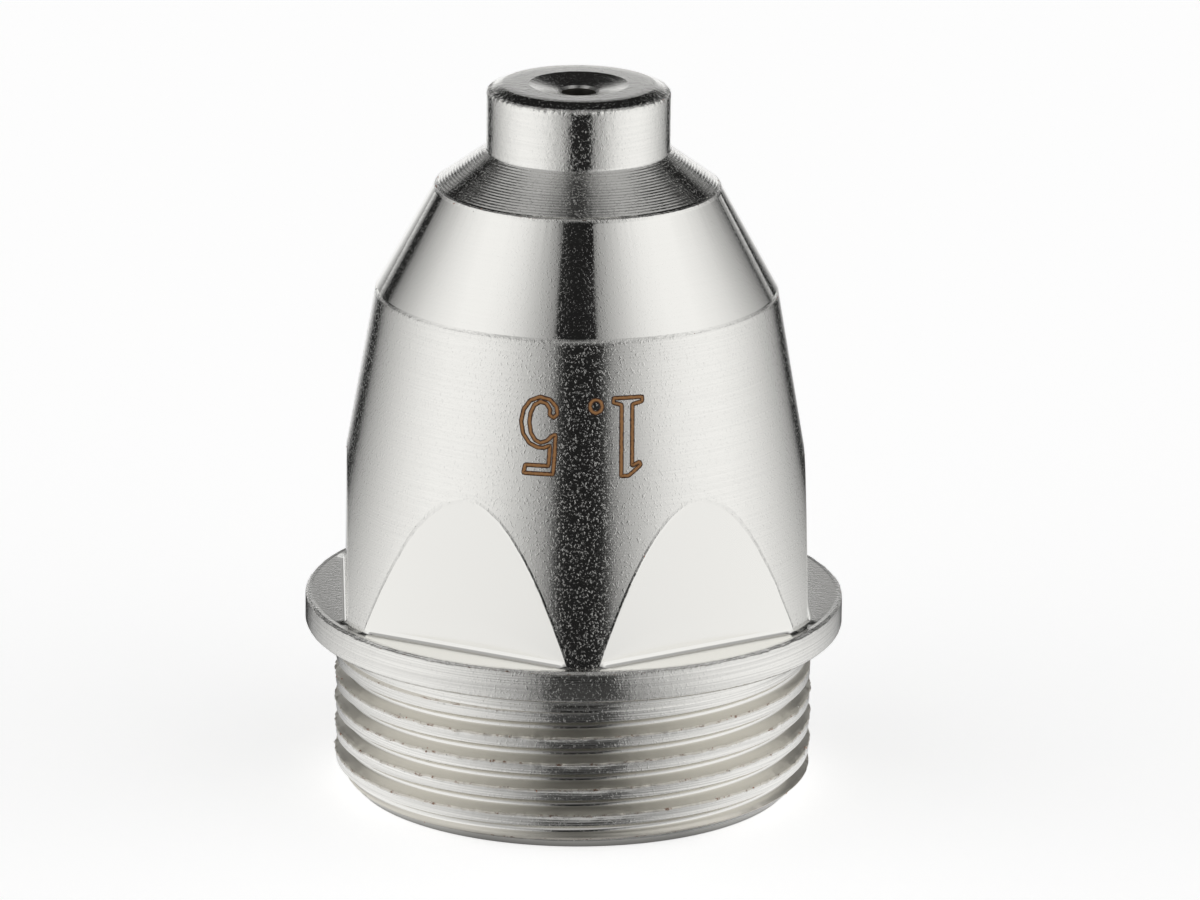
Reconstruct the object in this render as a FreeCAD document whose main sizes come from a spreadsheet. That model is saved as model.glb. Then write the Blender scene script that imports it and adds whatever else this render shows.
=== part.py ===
"""Plasma torch nozzle: one copper turning with six milled flats and a bored, tapering inside.

The axis is +Z and the origin is the centre of the open, threaded end, on which the nozzle stands.
From the bottom up it has a threaded stub, a thin flange, a long cone whose foot carries six
spanner flats, a steeper cone, a shoulder and a short cylindrical tip with the orifice in its face.
Lengths are in millimetres.
"""
import FreeCAD, Part
import math
import os
import Sketcher

# ---------------------------------------------------------------- driving dimensions
# Each section's length is its own value, so that the nozzle is as tall as their sum.
SIZES = [
    ("thread_diameter", 20.9, "major diameter of the thread, whose stub is plain here"),
    ("stub_length", 7.2, "open end to the underside of the flange"),
    ("end_chamfer", 0.8, "45 degree lead-in at the start of the thread"),
    ("flange_overhang", 1.35, "how far the flange stands out past the thread"),
    ("flange_thickness", 1.4, "underside to top face"),
    ("flange_edge_break", 0.1, "small bevel on both corners of the rim"),
    ("flange_ledge", 0.625, "width of the flange's top outside the foot of the long cone"),
    ("body_cone_length", 13.75, "flange to the edge of the upper cone"),
    ("upper_cone_foot_diameter", 17.55, "edge between the long cone and the upper cone"),
    ("upper_cone_length", 4.7, "edge to the foot of the shoulder"),
    ("shoulder_foot_diameter", 12.4, "edge between the upper cone and the shoulder"),
    ("shoulder_length", 1.6, "foot of the shoulder to the root of the tip"),
    ("tip_diameter", 8.0, "cylindrical tip"),
    ("tip_length", 2.85, "root of the tip to its face"),
    ("tip_root_radius", 0.25, "fillet between the shoulder and the tip"),
    ("tip_edge_radius", 0.5, "round between the tip's side and its face"),
    ("flat_depth", 1.175, "cut into the cone's foot, which leaves 20 mm across the flats"),
    ("flat_count", 6, "spanner flats"),
    ("flat_root_radius", 0.25, "corner left by the cutter at the foot of each flat"),
    ("stub_wall", 1.95, "between the seat and the top of the thread"),
    ("seat_depth", 8.0, "open end to the step"),
    ("seat_chamfer", 0.4, "lead-in at the mouth of the seat"),
    ("seat_step", 2.0, "width of the step that the torch's parts sit on"),
    ("chamber_length", 12.5, "step to the start of the chamber's taper"),
    ("throat_entry_diameter", 4.8, "end of the chamber's taper"),
    ("throat_entry_length", 0.95, "short cone that leads into the throat"),
    ("throat_diameter", 1.5, "orifice"),
    ("throat_length", 2.7, "straight length of the orifice"),
    ("throat_bevel_width", 0.15, "small bevel round the orifice's outer edge"),
    ("throat_bevel_depth", 0.1, "depth of that bevel"),
    ("dish_diameter", 4.3, "mouth of the shallow dish in the tip's face"),
    ("dish_depth", 0.3, "face of the tip to the orifice's bevel"),
]

# Radii that follow from the thread, outwards to the flange and the long cone's foot, and
# inwards to the seat and the chamber.
THREAD_RADIUS = "sizes.thread_diameter / 2"
FLANGE_RADIUS = THREAD_RADIUS + " + sizes.flange_overhang"
BODY_FOOT_RADIUS = FLANGE_RADIUS + " - sizes.flange_ledge"
FLAT_DISTANCE = BODY_FOOT_RADIUS + " - sizes.flat_depth"
SEAT_RADIUS = THREAD_RADIUS + " - sizes.stub_wall"
CHAMBER_RADIUS = SEAT_RADIUS + " - sizes.seat_step"
THROAT_RADIUS = "sizes.throat_diameter / 2"
THROAT_EDGE_RADIUS = THROAT_RADIUS + " + sizes.throat_bevel_width"

# Heights of the steps of the outside, as sums of the section lengths.
FLANGE_UNDERSIDE = "sizes.stub_length"
FLANGE_TOP = FLANGE_UNDERSIDE + " + sizes.flange_thickness"
BODY_TOP = FLANGE_TOP + " + sizes.body_cone_length"
UPPER_CONE_TOP = BODY_TOP + " + sizes.upper_cone_length"
SHOULDER_TOP = UPPER_CONE_TOP + " + sizes.shoulder_length"
TIP_FACE = SHOULDER_TOP + " + sizes.tip_length"

# Heights of the steps of the inside. The chamber is measured from the open end and the
# orifice from the tip's face, as their cutters reach them.
CHAMBER_TAPER_START = "sizes.seat_depth + sizes.chamber_length"
DISH_BOTTOM = TIP_FACE + " - sizes.dish_depth"
THROAT_TOP = DISH_BOTTOM + " - sizes.throat_bevel_depth"
THROAT_BOTTOM = THROAT_TOP + " - sizes.throat_length"
THROAT_ENTRY = THROAT_BOTTOM + " - sizes.throat_entry_length"

ON_AXIS = "0"
AT_OPEN_END = "0"
EDGE_MATCH = 1e-4       # how closely an edge must fit the radius and height it is looked up by


def half(diameter_name):
    return f"sizes.{diameter_name} / 2"


def make_sheet(doc):
    sheet = doc.addObject("Spreadsheet::Sheet", "sizes")
    for row, (name, value, note) in enumerate(SIZES, start=1):
        sheet.set(f"A{row}", name)
        sheet.set(f"B{row}", str(value))
        sheet.set(f"C{row}", note)
        sheet.setAlias(f"B{row}", name)
    doc.recompute()
    return sheet


def origin_feature(body, role):
    return next(item for item in body.Origin.OriginFeatures if item.Role == role)


def radial_sketch(body, name):
    """A sketch in the upright XZ plane: across is the radius and up is the height."""
    sketch = body.newObject("Sketcher::SketchObject", name)
    sketch.AttachmentSupport = [(origin_feature(body, "XZ_Plane"), "")]
    sketch.MapMode = "FlatFace"
    return sketch


def bind(sketch, constraint, name, expression):
    """Add a dimension to the sketch and tie it to the sheet."""
    index = sketch.addConstraint(constraint)
    sketch.renameConstraint(index, name)
    sketch.setExpression(f"Constraints.{name}", expression)


def place_point(sketch, line, name, radius, height):
    """Hold the first end of a line at a radius and a height given as sheet expressions."""
    start = 1
    point = sketch.Geometry[line].StartPoint
    origin, horizontal_axis, vertical_axis = -1, -1, -2
    if radius == ON_AXIS:
        sketch.addConstraint(Sketcher.Constraint("PointOnObject", line, start, vertical_axis))
    else:
        across = Sketcher.Constraint("DistanceX", origin, 1, line, start, point.x)
        bind(sketch, across, name + "_radius", radius)
    if height == AT_OPEN_END:
        sketch.addConstraint(Sketcher.Constraint("PointOnObject", line, start, horizontal_axis))
    else:
        up = Sketcher.Constraint("DistanceY", origin, 1, line, start, point.y)
        bind(sketch, up, name + "_height", height)


def draw_outline(sketch, corners):
    """Draw a closed outline of straight edges through named corners.

    The corners start evenly round a small circle, in order, and their two dimensions then
    pull each to its own place.
    """
    first_circle, first_centre = 5.0, 10.0
    step = 2 * math.pi / len(corners)
    starts = [FreeCAD.Vector(first_centre + first_circle * math.cos(step * i),
                             first_centre + first_circle * math.sin(step * i), 0)
              for i in range(len(corners))]
    lines = [sketch.addGeometry(Part.LineSegment(starts[i], starts[(i + 1) % len(starts)]))
             for i in range(len(starts))]
    for this_line, next_line in zip(lines, lines[1:] + lines[:1]):
        sketch.addConstraint(Sketcher.Constraint("Coincident", this_line, 2, next_line, 1))
    for line, (name, radius, height) in zip(lines, corners):
        place_point(sketch, line, name, radius, height)


def turn(body, name, feature_type, sketch):
    """Revolve a radial sketch a whole turn round the nozzle's axis."""
    feature = body.newObject(feature_type, name)
    feature.Profile = sketch
    feature.ReferenceAxis = (sketch, ["V_Axis"])
    feature.Angle = 360
    body.Document.recompute()
    return feature


def ring_edges(feature, rings):
    """Names of the feature's circular edges at each (radius, height) in rings."""
    found = []
    for radius, height in rings:
        matches = [f"Edge{i}" for i, edge in enumerate(feature.Shape.Edges, start=1)
                   if isinstance(edge.Curve, Part.Circle)
                   and abs(edge.Curve.Radius - radius) < EDGE_MATCH
                   and abs(edge.Curve.Center.z - height) < EDGE_MATCH]
        if not matches:
            raise RuntimeError(f"no ring edge of radius {radius} at height {height}")
        found += matches
    return found


def dress(body, name, feature_type, base, rings, size_property, size_name):
    """Chamfer or fillet whole ring edges by a size from the sheet."""
    feature = body.newObject(feature_type, name)
    feature.Base = (base, ring_edges(base, rings))
    feature.setExpression(size_property, f"sizes.{size_name}")
    body.Document.recompute()
    return feature


def turned_blank(body):
    """The outside as it comes off the lathe, solid, before its edges are broken."""
    sketch = radial_sketch(body, "outside_outline")
    draw_outline(sketch, [
        ("axis_bottom", ON_AXIS, AT_OPEN_END),
        ("stub_end", THREAD_RADIUS, AT_OPEN_END),
        ("stub_top", THREAD_RADIUS, FLANGE_UNDERSIDE),
        ("flange_low", FLANGE_RADIUS, FLANGE_UNDERSIDE),
        ("flange_high", FLANGE_RADIUS, FLANGE_TOP),
        ("body_foot", BODY_FOOT_RADIUS, FLANGE_TOP),
        ("upper_cone_foot", half("upper_cone_foot_diameter"), BODY_TOP),
        ("shoulder_foot", half("shoulder_foot_diameter"), UPPER_CONE_TOP),
        ("tip_root", half("tip_diameter"), SHOULDER_TOP),
        ("tip_edge", half("tip_diameter"), TIP_FACE),
        ("axis_top", ON_AXIS, TIP_FACE),
    ])
    return turn(body, "outside", "PartDesign::Revolution", sketch)


def broken_edges(body, blank, size):
    """Chamfer the thread's start and the flange's rim, and round the tip's root and edge."""
    flange_top = size["stub_length"] + size["flange_thickness"]
    shoulder_top = (flange_top + size["body_cone_length"] + size["upper_cone_length"]
                    + size["shoulder_length"])
    tip_face = shoulder_top + size["tip_length"]
    flange_radius = size["thread_diameter"] / 2 + size["flange_overhang"]
    feature = dress(body, "thread_start", "PartDesign::Chamfer", blank,
                    [(size["thread_diameter"] / 2, 0)], "Size", "end_chamfer")
    feature = dress(body, "flange_rim", "PartDesign::Chamfer", feature,
                    [(flange_radius, size["stub_length"]), (flange_radius, flange_top)],
                    "Size", "flange_edge_break")
    tip_radius = size["tip_diameter"] / 2
    feature = dress(body, "tip_root", "PartDesign::Fillet", feature,
                    [(tip_radius, shoulder_top)], "Radius", "tip_root_radius")
    return dress(body, "tip_edge_round", "PartDesign::Fillet", feature,
                 [(tip_radius, tip_face)], "Radius", "tip_edge_radius")


def draw_flat_cutter(sketch):
    """The cutter's path seen along a flat: upright at the flat, level on the flange's top.

    The corner between them is an arc, which leaves the fillet at the foot of the flat.
    """
    flat, arc_centre, beyond, top, foot = 10.0, 11.0, 13.0, 30.0, 9.0
    corners = [FreeCAD.Vector(flat, top, 0), FreeCAD.Vector(flat, foot + 1, 0),
               FreeCAD.Vector(arc_centre, foot, 0), FreeCAD.Vector(beyond, foot, 0),
               FreeCAD.Vector(beyond, top, 0)]
    upright = sketch.addGeometry(Part.LineSegment(corners[0], corners[1]))
    circle = Part.Circle(FreeCAD.Vector(arc_centre, foot + 1, 0), FreeCAD.Vector(0, 0, 1), 1)
    arc = sketch.addGeometry(Part.ArcOfCircle(circle, math.pi, 1.5 * math.pi))
    level = sketch.addGeometry(Part.LineSegment(corners[2], corners[3]))
    outer = sketch.addGeometry(Part.LineSegment(corners[3], corners[4]))
    lid = sketch.addGeometry(Part.LineSegment(corners[4], corners[0]))
    sketch.addConstraint([
        Sketcher.Constraint("Tangent", upright, 2, arc, 1),
        Sketcher.Constraint("Tangent", arc, 2, level, 1),
        Sketcher.Constraint("Coincident", level, 2, outer, 1),
        Sketcher.Constraint("Coincident", outer, 2, lid, 1),
        Sketcher.Constraint("Coincident", lid, 2, upright, 1),
        Sketcher.Constraint("Vertical", upright),
        Sketcher.Constraint("Horizontal", level),
        Sketcher.Constraint("Vertical", outer),
        Sketcher.Constraint("Horizontal", lid),
    ])
    origin = -1
    bind(sketch, Sketcher.Constraint("Radius", arc, 1.0), "root", "sizes.flat_root_radius")
    bind(sketch, Sketcher.Constraint("DistanceX", origin, 1, upright, 1, flat),
         "flat_distance", FLAT_DISTANCE)
    bind(sketch, Sketcher.Constraint("DistanceY", origin, 1, level, 1, foot),
         "foot_height", FLANGE_TOP)
    bind(sketch, Sketcher.Constraint("DistanceX", origin, 1, outer, 1, beyond),
         "outer_reach", "sizes.thread_diameter")
    bind(sketch, Sketcher.Constraint("DistanceY", origin, 1, outer, 2, top),
         "upper_reach", TIP_FACE)


def milled_flats(body):
    """Six flats cut into the foot of the long cone, where each runs out in a curve."""
    sketch = radial_sketch(body, "flat_cutter")
    draw_flat_cutter(sketch)
    flat = body.newObject("PartDesign::Pocket", "first_flat")
    flat.Profile = sketch
    flat.SideType = "Symmetric"
    flat.setExpression("Length", "sizes.thread_diameter * 2")
    body.Document.recompute()
    flats = body.newObject("PartDesign::PolarPattern", "flats")
    flats.Originals = [flat]
    flats.Axis = (origin_feature(body, "Z_Axis"), [""])
    flats.Angle = 360
    flats.setExpression("Occurrences", "sizes.flat_count")
    body.Tip = flats
    body.Document.recompute()
    return flats


def bored_inside(body):
    """Seat, chamber, tapering front, orifice and the dish that it opens into."""
    sketch = radial_sketch(body, "inside_outline")
    draw_outline(sketch, [
        ("axis_bottom", ON_AXIS, AT_OPEN_END),
        ("seat_mouth", SEAT_RADIUS, AT_OPEN_END),
        ("seat_end", SEAT_RADIUS, "sizes.seat_depth"),
        ("chamber_start", CHAMBER_RADIUS, "sizes.seat_depth"),
        ("taper_start", CHAMBER_RADIUS, CHAMBER_TAPER_START),
        ("throat_entry", half("throat_entry_diameter"), THROAT_ENTRY),
        ("throat_bottom", THROAT_RADIUS, THROAT_BOTTOM),
        ("throat_top", THROAT_RADIUS, THROAT_TOP),
        ("dish_bottom", THROAT_EDGE_RADIUS, DISH_BOTTOM),
        ("dish_mouth", half("dish_diameter"), TIP_FACE),
        ("axis_top", ON_AXIS, TIP_FACE),
    ])
    return turn(body, "inside", "PartDesign::Groove", sketch)


def check_removed(before, after, name):
    """A cut that points away from the solid removes nothing and reports no error."""
    if not after.Shape.Volume < before.Shape.Volume:
        raise RuntimeError(f"{name} removed nothing")


def make_nozzle(doc, size):
    body = doc.addObject("PartDesign::Body", "nozzle")
    body.Label = "nozzle"
    blank = turned_blank(body)
    edged = broken_edges(body, blank, size)
    check_removed(blank, edged, "the edge breaks")
    flats = milled_flats(body)
    check_removed(edged, flats, "the flats")
    inside = bored_inside(body)
    check_removed(flats, inside, "the inside")
    mouth = dress(body, "seat_mouth", "PartDesign::Chamfer", inside,
                  [(size["thread_diameter"] / 2 - size["stub_wall"], 0)],
                  "Size", "seat_chamfer")
    check_removed(inside, mouth, "the seat's chamfer")
    body.Placement = FreeCAD.Placement()
    return body


def check_document(doc):
    doc.recompute()
    for item in doc.Objects:
        if {"Invalid", "Error"} & set(item.State):
            raise RuntimeError(f"{item.Name} failed: {item.State}")


def export(body):
    shape = body.Shape
    if shape.isNull() or not shape.isValid() or len(shape.Solids) != 1:
        raise RuntimeError(f"{body.Label} is not one valid solid")
    os.makedirs("parts", exist_ok=True)
    shape.exportStep(f"parts/{body.Label}.step")
    box = shape.BoundBox
    print(f"{body.Label}: {box.XLength:.2f} x {box.YLength:.2f} x {box.ZLength:.2f} mm,"
          f" {shape.Volume:.1f} mm3, {len(shape.Faces)} faces")


doc = FreeCAD.newDocument("plasma_torch_nozzle")
sheet = make_sheet(doc)
size = {name: float(sheet.get(name)) for name, value, note in SIZES}
nozzle = make_nozzle(doc, size)
check_document(doc)
export(nozzle)
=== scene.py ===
# %% [markdown]
# # A plasma torch nozzle
# The nozzle is one small turned piece of copper, plated bright. A thread screws it into the
# torch, six flats take a spanner, three cones carry the shape up to a short round tip, and
# the arc leaves through the orifice in the tip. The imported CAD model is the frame: it says
# how large everything is, and this lesson gives it its thread, its burrs and its finishes.

# %% Load the frame
import math

import bpy
from mathutils import Matrix, Vector


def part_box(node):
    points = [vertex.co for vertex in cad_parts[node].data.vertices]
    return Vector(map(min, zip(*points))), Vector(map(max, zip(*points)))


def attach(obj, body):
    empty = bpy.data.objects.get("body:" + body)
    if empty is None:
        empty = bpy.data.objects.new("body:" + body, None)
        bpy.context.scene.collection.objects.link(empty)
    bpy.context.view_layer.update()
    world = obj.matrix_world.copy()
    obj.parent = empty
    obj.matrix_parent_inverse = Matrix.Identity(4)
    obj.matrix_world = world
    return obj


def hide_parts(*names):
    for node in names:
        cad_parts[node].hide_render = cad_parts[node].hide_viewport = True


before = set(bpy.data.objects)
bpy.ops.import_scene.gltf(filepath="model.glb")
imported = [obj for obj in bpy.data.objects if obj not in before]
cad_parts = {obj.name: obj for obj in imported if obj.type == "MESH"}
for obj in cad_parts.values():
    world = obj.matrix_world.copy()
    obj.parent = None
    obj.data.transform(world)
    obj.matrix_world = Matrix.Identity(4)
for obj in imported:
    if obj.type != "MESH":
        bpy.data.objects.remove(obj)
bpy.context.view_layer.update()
low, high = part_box("nozzle")
MM = 0.001
FLANGE_RADIUS = (high.x - low.x) / 2 / MM
TIP_FACE = high.z / MM
print(f"the CAD nozzle is {2 * FLANGE_RADIUS:.2f} mm across and {TIP_FACE:.2f} mm tall")

# %% [markdown]
# ## One helper for every node
# Shapes and finishes below are both node trees. This one function adds a node, sets its
# properties, and fills its inputs in order, with numbers or with links from other nodes.

# %% Add a node
def add(tree, kind, *values, **settings):
    """Add a node. Values fill its live inputs in order, and a dict fills inputs by name."""
    node = tree.nodes.new(kind)
    for name, value in settings.items():
        setattr(node, name, value)
    live = [socket for socket in node.inputs if socket.enabled]
    fills = []
    for place, value in enumerate(values):
        if isinstance(value, dict):
            fills += [(next(s for s in live if s.name == key), item)
                      for key, item in value.items()]
        elif value is not None:
            fills.append((live[place], value))
    for socket, value in fills:
        if isinstance(value, bpy.types.Node):
            value = next(out for out in value.outputs if out.enabled)
        if isinstance(value, bpy.types.NodeSocket):
            tree.links.new(value, socket)
        else:
            socket.default_value = value
    return node


def linear(code):
    """An sRGB hex colour as the linear colour that Blender's sockets take."""
    parts = [int(code[place:place + 2], 16) / 255 for place in (1, 3, 5)]
    return tuple(c / 12.92 if c <= 0.04045 else ((c + 0.055) / 1.055) ** 2.4
                 for c in parts) + (1.0,)


# %% [markdown]
# ## The outline, row by row
# A lathe makes a shape by moving a tool along an outline while the piece spins. The mesh is
# made in the same way: the outline is a list of rows, each with its radius and height in
# millimetres, and a Geometry Nodes tree spins it. Rows also say which finish starts at
# them, where an edge is sharp, and how ragged the tool left it.

# %% Rows of the outline
FINISHES = ["bored", "threaded", "torn", "turned", "milled", "coned", "polished",
            "shoulder", "tip", "faced", "chamfered"]
ROW_VALUES = ["radius", "height", "rise", "low_share", "high_share", "milled", "helix",
              "cut", "groove", "burr", "wander", "sharp", "edge", "finish"]
rows = []


def row(radius, height, finish, **extra):
    """One ring of the outline, in millimetres."""
    rows.append({**dict.fromkeys(ROW_VALUES, 0.0), "radius": radius, "height": height,
                 "finish": float(FINISHES.index(finish)), **extra})


def arc(centre_r, centre_z, size, start, end, steps, finish, **extra):
    """Rows along an arc, with its angles in degrees, up from straight out."""
    for step in range(steps + 1):
        turn = math.radians(start + (end - start) * step / steps)
        row(centre_r + size * math.cos(turn), centre_z + size * math.sin(turn),
            finish, **extra)


# %% [markdown]
# ## The thread
# The thread is a right-hand one, cut with a single-point tool. Its crest is flat, and its
# groove has a rounded root. The tool pushed a thin ragged burr over the upper edge of the
# crest. A thread could be a swept cutter and a boolean, but then its rows would not follow
# the edge. Here every row climbs one pitch in each turn, so crest, flank and root all keep
# clean lines, and the seam closes on the row one pitch higher.

# %% Stub and thread rows
THREAD_RADIUS, PITCH = 10.45, 1.175
CHAMFER_FOOT = 9.65                      # radius at the open end, 0.8 mm in from the thread
THREAD_DEPTH = 0.42
THREAD_LOW = THREAD_RADIUS - THREAD_DEPTH - CHAMFER_FOOT
THREAD_HIGH = 6.35
FIRST_CREST = 1.1125 - 2 * PITCH         # upper edge of a crest, where the turns begin
LAST_GROOVE = 5
# Each entry: height above the crest's edge, depth below the crest, finish, groove number
# to add, raggedness outwards, raggedness along the axis, sharp edge, edge wear.
GROOVE_FORM = [
    (0.02, 0.01, "torn", 0, 0.07, 0.03, 1, 1.0), (0.07, 0.11, "torn", 0, 0.02, 0, 0, 0.4),
    (0.22, 0.355, "torn", 0, 0, 0, 0, 0), (0.29, 0.405, "threaded", 0, 0, 0, 0, 0),
    (0.375, 0.42, "threaded", 0, 0, 0, 0, 0), (0.46, 0.405, "threaded", 0, 0, 0, 0, 0),
    (0.53, 0.345, "threaded", 0, 0, 0, 0, 0), (0.62, 0.15, "threaded", 0, 0, 0, 0, 0.1),
    (0.69, 0.0, "turned", 0, 0.004, 0.008, 1, 0.3), (0.85, 0.0, "turned", 0, 0, 0, 0, 0),
    (1.03, 0.0, "turned", 1, 0.0, 0.012, 0, 0.15), (1.11, -0.02, "torn", 1, 0.09, 0.03, 0, 1.0),
]
row(8.9, 0, "turned", sharp=1)
row(9.3, 0, "turned")
row(CHAMFER_FOOT, 0, "chamfered", sharp=1)
for turn in range(LAST_GROOVE + 2):
    for rise, cut, finish, next_groove, burr, wander, sharp, edge in GROOVE_FORM:
        place = FIRST_CREST + turn * PITCH + rise
        if THREAD_LOW - PITCH <= place <= THREAD_HIGH:
            row(THREAD_RADIUS, place, finish, helix=1, cut=cut,
                groove=turn + next_groove, burr=burr, wander=wander, sharp=sharp,
                edge=edge)
print(f"{len(rows)} rows up to the end of the thread")

# %% [markdown]
# ## Neck, flange and flats
# Above the thread is a plain neck with two light tool lines, and then the flange. Its rim is
# finely turned and its edges are a little ragged. The spanner flats stop on the flange in a
# small root radius. A flat and the cone above it share rows: the rows below the line where
# they meet lie on the flat, and the rows above it lie on the cone.

# %% Neck, flange and body rows
FLANGE_LOW, FLANGE_TOP = 7.2, 8.6
for line in (6.44, 6.67):
    row(THREAD_RADIUS, line - 0.04, "turned")
    row(THREAD_RADIUS - 0.035, line, "turned")
    row(THREAD_RADIUS, line + 0.04, "turned")
row(THREAD_RADIUS, FLANGE_LOW, "turned", sharp=1)
row(FLANGE_RADIUS - 0.35, FLANGE_LOW, "turned")
row(FLANGE_RADIUS - 0.14, FLANGE_LOW, "turned", burr=-0.01, edge=0.5)
row(FLANGE_RADIUS - 0.03, FLANGE_LOW + 0.1, "turned", burr=-0.02, wander=0.02, edge=1.0)
row(FLANGE_RADIUS, FLANGE_LOW + 0.2, "turned", edge=0.2)
row(FLANGE_RADIUS, FLANGE_TOP - 0.2, "turned", edge=0.1)
row(FLANGE_RADIUS, FLANGE_TOP - 0.1, "turned", burr=-0.03, wander=0.04, sharp=1, edge=1.0)
row(FLANGE_RADIUS - 0.12, FLANGE_TOP, "milled", burr=-0.03, sharp=1, edge=0.7)
row(FLANGE_RADIUS - 0.3, FLANGE_TOP, "milled", edge=0.1)
FOOT_RADIUS, FLAT_APOTHEM, ROOT_RADIUS = 11.175, 10.0, 0.25
CONE_LENGTH, CONE_TOP_RADIUS = 13.75, 8.775
FILLET_STEPS = 6
FLAT_SHARES = [0.2, 0.45, 0.7, 0.88, 0.975, 1]
CONE_SHARES = [0.02, 0.12, 0.26, 0.42, 0.58, 0.74, 0.9, 0.988, 1]
for step in range(FILLET_STEPS + 1):
    rise = ROOT_RADIUS * (1 - math.cos(math.pi / 2 * step / FILLET_STEPS))
    row(0, FLANGE_TOP, "milled", milled=1, rise=rise, edge=0.35 if step == 0 else 0)
for share in FLAT_SHARES:
    row(0, FLANGE_TOP, "coned" if share == 1 else "milled", milled=1, rise=ROOT_RADIUS,
        low_share=share, sharp=share == 1, edge=0.6 if share == 1 else 0)
for share in CONE_SHARES:
    row(0, FLANGE_TOP, "polished" if share == 1 else "coned", milled=1,
        rise=ROOT_RADIUS, low_share=1, high_share=share, sharp=share == 1,
        edge=0.8 if share == 1 else 0)
print(f"{len(rows)} rows up to the top of the long cone")

# %% [markdown]
# ## Upper cones, tip and inside
# The polished cone and the steeper shoulder lead to the tip. The tip stands on a small root
# radius, its front edge is rounded, and a shallow dish opens round the orifice. From there
# the rows go down inside: throat, tapering chamber and the wide seat at the open end.

# %% Rows of the cones, tip and inside
CONE_TOP = FLANGE_TOP + CONE_LENGTH
SHOULDER_FOOT_Z, SHOULDER_FOOT_R = 27.05, 6.2
SHOULDER_TOP_Z, TIP_RADIUS = 28.65, 4.0
TIP_ROOT = 0.25
for share in (0.03, 0.5, 0.97):
    row(CONE_TOP_RADIUS + (SHOULDER_FOOT_R - CONE_TOP_RADIUS) * share,
        CONE_TOP + (SHOULDER_FOOT_Z - CONE_TOP) * share, "polished")
row(SHOULDER_FOOT_R, SHOULDER_FOOT_Z, "shoulder", sharp=1, edge=1.0, burr=0.012,
    wander=0.01)
slope = math.atan2(SHOULDER_FOOT_R - TIP_RADIUS, SHOULDER_TOP_Z - SHOULDER_FOOT_Z)
tangent = TIP_ROOT * math.tan(slope / 2)
row(SHOULDER_FOOT_R - 0.12, SHOULDER_FOOT_Z + 0.087, "shoulder")
row((SHOULDER_FOOT_R + TIP_RADIUS) / 2, (SHOULDER_FOOT_Z + SHOULDER_TOP_Z) / 2,
    "shoulder")
arc(TIP_RADIUS + TIP_ROOT, SHOULDER_TOP_Z + tangent, TIP_ROOT,
    180 + math.degrees(slope), 180, 5, "tip", edge=0.2)
row(TIP_RADIUS, 29.2, "tip")
TIP_EDGE = [(0.0, 1.1), (0.0, 0.5), (0.004, 0.42), (0.016, 0.36), (0.04, 0.3),
            (0.08, 0.255), (0.16, 0.205), (0.28, 0.15), (0.40, 0.1), (0.52, 0.05),
            (0.62, 0.012)]
for inward, below in TIP_EDGE:
    ragged = 0.2 < below < 0.4
    row(TIP_RADIUS - inward, TIP_FACE - below, "tip", burr=-0.03 if ragged else 0,
        wander=0.03 if ragged else 0, edge=0.7 if ragged else 0)
row(TIP_RADIUS - 0.7, TIP_FACE, "faced")
row(2.8, TIP_FACE, "faced")
DISH_RADIUS, BEVEL_RADIUS, ORIFICE_RADIUS = 2.15, 0.9, 0.75
CHAMBER_RADIUS, SEAT_RADIUS, SEAT_DEPTH = 6.5, 8.5, 8.0
row(DISH_RADIUS, TIP_FACE, "faced", sharp=1, burr=0.01, edge=0.2)
row(1.5, 31.344, "faced")
row(BEVEL_RADIUS, 31.2, "faced", sharp=1)
row(ORIFICE_RADIUS, 31.1, "bored", sharp=1)
row(ORIFICE_RADIUS, 30.0, "bored")
row(ORIFICE_RADIUS, 28.4, "bored", sharp=1)
row(1.5, 27.968, "bored")
row(2.4, 27.45, "bored", sharp=1)
row(4.5, 23.89, "bored")
row(CHAMBER_RADIUS, 20.5, "bored", sharp=1)
row(CHAMBER_RADIUS, 14.0, "bored")
row(CHAMBER_RADIUS, SEAT_DEPTH, "bored", sharp=1)
row(7.5, SEAT_DEPTH, "bored")
row(SEAT_RADIUS, SEAT_DEPTH, "bored", sharp=1)
row(SEAT_RADIUS, 4.0, "bored")
row(SEAT_RADIUS, 0.4, "bored", sharp=1)
row(8.9, 0, "turned", sharp=1)
print(f"{len(rows)} rows in the whole outline")

# %% [markdown]
# ## Spin the rows
# The tree lays out a flat grid with one line of points for each row and one column for each
# step round the axis. It looks up the row's values, works out the angle, and moves each
# point to its radius and height. The flats cut the radius back to a plane, the thread
# lifts its rows by a pitch a turn, and noise with a fixed pattern roughens the burrs.
# Points that fall together are merged, which also closes the seam.

# %% The outline as a mesh with values
outline = bpy.data.meshes.new("outline")
outline.from_pydata([(item["radius"] * MM, 0, item["height"] * MM) for item in rows],
                    [(place, place + 1) for place in range(len(rows) - 1)], [])
for name in ROW_VALUES:
    layer = outline.attributes.new(name, "FLOAT", "POINT")
    layer.data.foreach_set("value", [float(item[name]) for item in rows])
nozzle = bpy.data.objects.new("plated_nozzle", outline)
bpy.context.scene.collection.objects.link(nozzle)

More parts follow.
